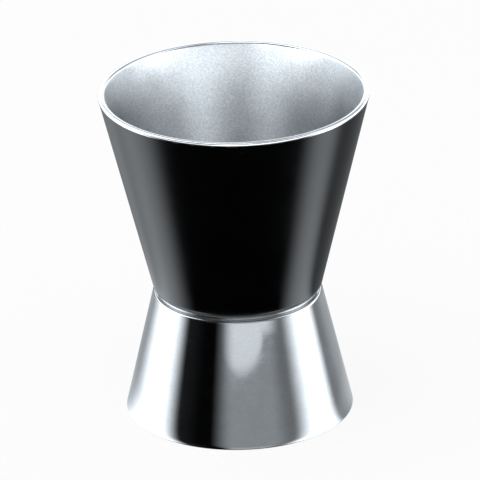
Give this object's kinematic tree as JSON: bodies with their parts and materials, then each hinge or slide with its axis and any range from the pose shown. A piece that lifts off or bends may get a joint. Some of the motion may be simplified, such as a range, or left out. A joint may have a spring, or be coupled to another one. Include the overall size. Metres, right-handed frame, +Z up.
{
  "type": "cocktail measure",
  "caption": "Double-ended cocktail measure: a large and a small tapered metal cup, brazed base to base at a narrow waist, with flat polished rims to stand on.",
  "frame": {"origin": "centre of the small cup's rim, on the surface that the measure stands on", "axes": "+Z up along the cups' common axis, towards the large cup's rim; the part is round, so +X and +Y are any two directions square to it"},
  "size_m": [0.05, 0.05, 0.0631],
  "materials": {
    "large_cup": "steel with a satin-gloss black outside, a bare satin inside and a bare polished lip",
    "small_cup": "stainless steel, mirror polished outside, satin inside",
    "waist_braze": "silver braze, polished with the shoulder"
  },
  "bodies": {
    "root": {"large_cup": "large_cup", "small_cup": "small_cup", "waist_braze": "waist_braze"}
  },
  "joints": []
}
